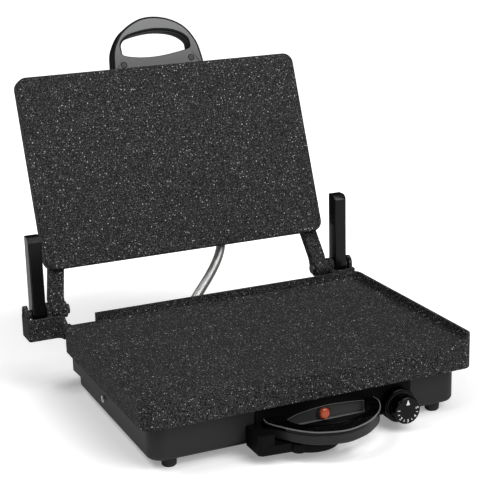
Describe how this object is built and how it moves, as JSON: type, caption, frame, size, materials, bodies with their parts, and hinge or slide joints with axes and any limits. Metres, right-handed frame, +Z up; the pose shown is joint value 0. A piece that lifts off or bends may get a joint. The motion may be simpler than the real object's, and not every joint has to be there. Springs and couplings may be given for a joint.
{
  "type": "contact grill",
  "caption": "Electric contact grill with speckled non-stick plates, a lid on floating hinge pins, swing-down rests, two D-shaped handles, a dial, a pilot lamp and a drip tray.",
  "frame": {"origin": "on the table, under the middle of the opened grill's bounding box", "axes": "+Z up, +X to the right seen from the front, -Y towards the user"},
  "size_m": [0.402, 0.4554, 0.3772],
  "materials": {
    "granite_coat": "cast, with a speckled dark non-stick coating",
    "black_moulding": "fine texture",
    "gloss_moulding": "smooth semi-gloss",
    "bright_steel": "bright",
    "dark_steel": "black painted sheet",
    "element_steel": "heat-tinted tube",
    "reflector_sheet": "bright sheet",
    "screw_steel": "zinc plated",
    "rubber": "matt",
    "lamp_orange": "translucent orange",
    "ceramic": "unglazed ceramic",
    "lead_skin": "silicone lead"
  },
  "bodies": {
    "base": {"lower_plate": "granite_coat", "lower_element": "element_steel", "lower_element_clips": "bright_steel", "lower_reflector": "reflector_sheet", "base_housing": "black_moulding", "bottom_cover": "dark_steel", "bottom_cover_screws": "screw_steel", "feet": "rubber", "foot_screws": "screw_steel", "plate_screws": "screw_steel", "side_screws": "screw_steel", "base_handle_top": "gloss_moulding", "base_handle_bottom": "black_moulding", "base_handle_screws": "screw_steel", "thermostat": "ceramic", "lamp_lens": "lamp_orange", "lamp_bezel": "gloss_moulding", "lamp_holder": "black_moulding", "lead_sleeve": "bright_steel", "inner_lead": "lead_skin", "base_gland": "black_moulding", "mains_gland": "black_moulding", "terminal_block": "ceramic"},
    "tray": {"drip_tray": "black_moulding"},
    "dial": {"dial_knob": "gloss_moulding", "thermostat_shaft": "bright_steel"},
    "pins": {"hinge_pins": "bright_steel", "pin_spacers": "bright_steel"},
    "lid": {"upper_plate": "granite_coat", "upper_element": "element_steel", "upper_element_clips": "bright_steel", "upper_reflector": "reflector_sheet", "lid_cover": "black_moulding", "lid_cover_screws": "screw_steel", "lid_handle_front": "gloss_moulding", "lid_handle_back": "black_moulding", "lid_handle_bracket": "dark_steel", "lid_handle_screws": "screw_steel", "lid_gland": "black_moulding"},
    "left_rest": {"left_rest": "black_moulding"},
    "right_rest": {"right_rest": "black_moulding"}
  },
  "joints": [
    {"name": "hinge_float", "type": "slide", "parent": "base", "child": "pins", "axis": [0, 0, 1], "range_m": [0, 0.004], "deforming": ["lead_sleeve", "inner_lead"]},
    {"name": "lid_hinge", "type": "hinge", "parent": "pins", "child": "lid", "pos_m": [0, 0.09425, 0.088], "axis": [1, 0, 0], "range_deg": [-68.7, 111.3], "deforming": ["lead_sleeve", "inner_lead"]},
    {"name": "left_rest_swing", "type": "hinge", "parent": "pins", "child": "left_rest", "pos_m": [0, 0.09425, 0.088], "axis": [-1, 0, 0], "range_deg": [0, 180]},
    {"name": "right_rest_swing", "type": "hinge", "parent": "pins", "child": "right_rest", "pos_m": [0, 0.09425, 0.088], "axis": [-1, 0, 0], "range_deg": [0, 180]},
    {"name": "dial_turn", "type": "hinge", "parent": "base", "child": "dial", "pos_m": [0.112, -0.16575, 0.0235], "axis": [0, 1, 0], "range_deg": [0, 280]},
    {"name": "tray_slide", "type": "slide", "parent": "base", "child": "tray", "axis": [0, -1, 0], "range_m": [0, 0.095]}
  ]
}
